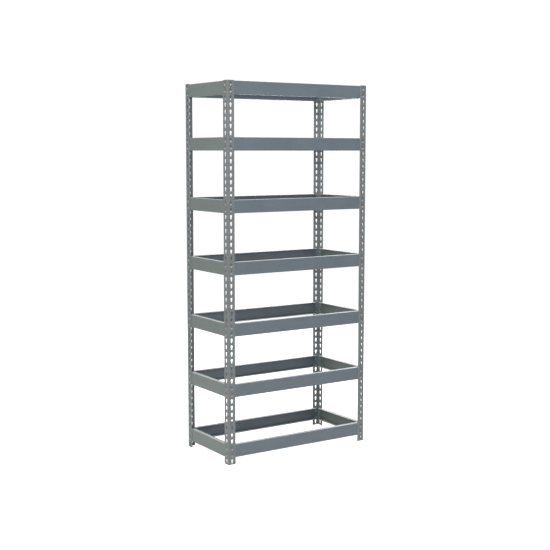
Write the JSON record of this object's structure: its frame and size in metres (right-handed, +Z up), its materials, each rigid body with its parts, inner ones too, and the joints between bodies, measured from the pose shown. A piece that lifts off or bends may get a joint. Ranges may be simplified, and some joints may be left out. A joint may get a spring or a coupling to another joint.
{
  "type": "boltless steel shelving",
  "caption": "Open, deckless boltless shelving: slotted angle posts with levels of channel beams whose rivets hook into the posts' keyholes.",
  "frame": {"origin": "On the floor, under the middle of the unit, level with the cut ends of the posts", "axes": "+X along the long side to the right, +Y from the front to the rear, +Z up the posts"},
  "size_m": [0.957, 0.475, 2.1336],
  "materials": {
    "post": "satin grey baked enamel on roll-formed angle steel",
    "long_beam": "satin grey baked enamel on roll-formed channel steel, slightly blue",
    "short_beam": "satin grey baked enamel on roll-formed channel steel"
  },
  "bodies": {
    "frame_posts": {"post_front_left": "post", "post_front_right": "post", "post_rear_right": "post", "post_rear_left": "post"},
    "beam_front_1": {"beam_front_1": "long_beam"},
    "beam_right_1": {"beam_right_1": "short_beam"},
    "beam_rear_1": {"beam_rear_1": "long_beam"},
    "beam_left_1": {"beam_left_1": "short_beam"},
    "beam_front_2": {"beam_front_2": "long_beam"},
    "beam_right_2": {"beam_right_2": "short_beam"},
    "beam_rear_2": {"beam_rear_2": "long_beam"},
    "beam_left_2": {"beam_left_2": "short_beam"},
    "beam_front_3": {"beam_front_3": "long_beam"},
    "beam_right_3": {"beam_right_3": "short_beam"},
    "beam_rear_3": {"beam_rear_3": "long_beam"},
    "beam_left_3": {"beam_left_3": "short_beam"},
    "beam_front_4": {"beam_front_4": "long_beam"},
    "beam_right_4": {"beam_right_4": "short_beam"},
    "beam_rear_4": {"beam_rear_4": "long_beam"},
    "beam_left_4": {"beam_left_4": "short_beam"},
    "beam_front_5": {"beam_front_5": "long_beam"},
    "beam_right_5": {"beam_right_5": "short_beam"},
    "beam_rear_5": {"beam_rear_5": "long_beam"},
    "beam_left_5": {"beam_left_5": "short_beam"},
    "beam_front_6": {"beam_front_6": "long_beam"},
    "beam_right_6": {"beam_right_6": "short_beam"},
    "beam_rear_6": {"beam_rear_6": "long_beam"},
    "beam_left_6": {"beam_left_6": "short_beam"},
    "beam_front_7": {"beam_front_7": "long_beam"},
    "beam_right_7": {"beam_right_7": "short_beam"},
    "beam_rear_7": {"beam_rear_7": "long_beam"},
    "beam_left_7": {"beam_left_7": "short_beam"}
  },
  "joints": [
    {"name": "lift_front_1", "type": "slide", "parent": "frame_posts", "child": "beam_front_1", "axis": [0, 0, 1], "range_m": [0, 0.0145]},
    {"name": "lift_right_1", "type": "slide", "parent": "frame_posts", "child": "beam_right_1", "axis": [0, 0, 1], "range_m": [0, 0.0145]},
    {"name": "lift_rear_1", "type": "slide", "parent": "frame_posts", "child": "beam_rear_1", "axis": [0, 0, 1], "range_m": [0, 0.0145]},
    {"name": "lift_left_1", "type": "slide", "parent": "frame_posts", "child": "beam_left_1", "axis": [0, 0, 1], "range_m": [0, 0.0145]},
    {"name": "lift_front_2", "type": "slide", "parent": "frame_posts", "child": "beam_front_2", "axis": [0, 0, 1], "range_m": [0, 0.0145]},
    {"name": "lift_right_2", "type": "slide", "parent": "frame_posts", "child": "beam_right_2", "axis": [0, 0, 1], "range_m": [0, 0.0145]},
    {"name": "lift_rear_2", "type": "slide", "parent": "frame_posts", "child": "beam_rear_2", "axis": [0, 0, 1], "range_m": [0, 0.0145]},
    {"name": "lift_left_2", "type": "slide", "parent": "frame_posts", "child": "beam_left_2", "axis": [0, 0, 1], "range_m": [0, 0.0145]},
    {"name": "lift_front_3", "type": "slide", "parent": "frame_posts", "child": "beam_front_3", "axis": [0, 0, 1], "range_m": [0, 0.0145]},
    {"name": "lift_right_3", "type": "slide", "parent": "frame_posts", "child": "beam_right_3", "axis": [0, 0, 1], "range_m": [0, 0.0145]},
    {"name": "lift_rear_3", "type": "slide", "parent": "frame_posts", "child": "beam_rear_3", "axis": [0, 0, 1], "range_m": [0, 0.0145]},
    {"name": "lift_left_3", "type": "slide", "parent": "frame_posts", "child": "beam_left_3", "axis": [0, 0, 1], "range_m": [0, 0.0145]},
    {"name": "lift_front_4", "type": "slide", "parent": "frame_posts", "child": "beam_front_4", "axis": [0, 0, 1], "range_m": [0, 0.0145]},
    {"name": "lift_right_4", "type": "slide", "parent": "frame_posts", "child": "beam_right_4", "axis": [0, 0, 1], "range_m": [0, 0.0145]},
    {"name": "lift_rear_4", "type": "slide", "parent": "frame_posts", "child": "beam_rear_4", "axis": [0, 0, 1], "range_m": [0, 0.0145]},
    {"name": "lift_left_4", "type": "slide", "parent": "frame_posts", "child": "beam_left_4", "axis": [0, 0, 1], "range_m": [0, 0.0145]},
    {"name": "lift_front_5", "type": "slide", "parent": "frame_posts", "child": "beam_front_5", "axis": [0, 0, 1], "range_m": [0, 0.0145]},
    {"name": "lift_right_5", "type": "slide", "parent": "frame_posts", "child": "beam_right_5", "axis": [0, 0, 1], "range_m": [0, 0.0145]},
    {"name": "lift_rear_5", "type": "slide", "parent": "frame_posts", "child": "beam_rear_5", "axis": [0, 0, 1], "range_m": [0, 0.0145]},
    {"name": "lift_left_5", "type": "slide", "parent": "frame_posts", "child": "beam_left_5", "axis": [0, 0, 1], "range_m": [0, 0.0145]},
    {"name": "lift_front_6", "type": "slide", "parent": "frame_posts", "child": "beam_front_6", "axis": [0, 0, 1], "range_m": [0, 0.0145]},
    {"name": "lift_right_6", "type": "slide", "parent": "frame_posts", "child": "beam_right_6", "axis": [0, 0, 1], "range_m": [0, 0.0145]},
    {"name": "lift_rear_6", "type": "slide", "parent": "frame_posts", "child": "beam_rear_6", "axis": [0, 0, 1], "range_m": [0, 0.0145]},
    {"name": "lift_left_6", "type": "slide", "parent": "frame_posts", "child": "beam_left_6", "axis": [0, 0, 1], "range_m": [0, 0.0145]},
    {"name": "lift_front_7", "type": "slide", "parent": "frame_posts", "child": "beam_front_7", "axis": [0, 0, 1], "range_m": [0, 0.0145]},
    {"name": "lift_right_7", "type": "slide", "parent": "frame_posts", "child": "beam_right_7", "axis": [0, 0, 1], "range_m": [0, 0.0145]},
    {"name": "lift_rear_7", "type": "slide", "parent": "frame_posts", "child": "beam_rear_7", "axis": [0, 0, 1], "range_m": [0, 0.0145]},
    {"name": "lift_left_7", "type": "slide", "parent": "frame_posts", "child": "beam_left_7", "axis": [0, 0, 1], "range_m": [0, 0.0145]}
  ]
}
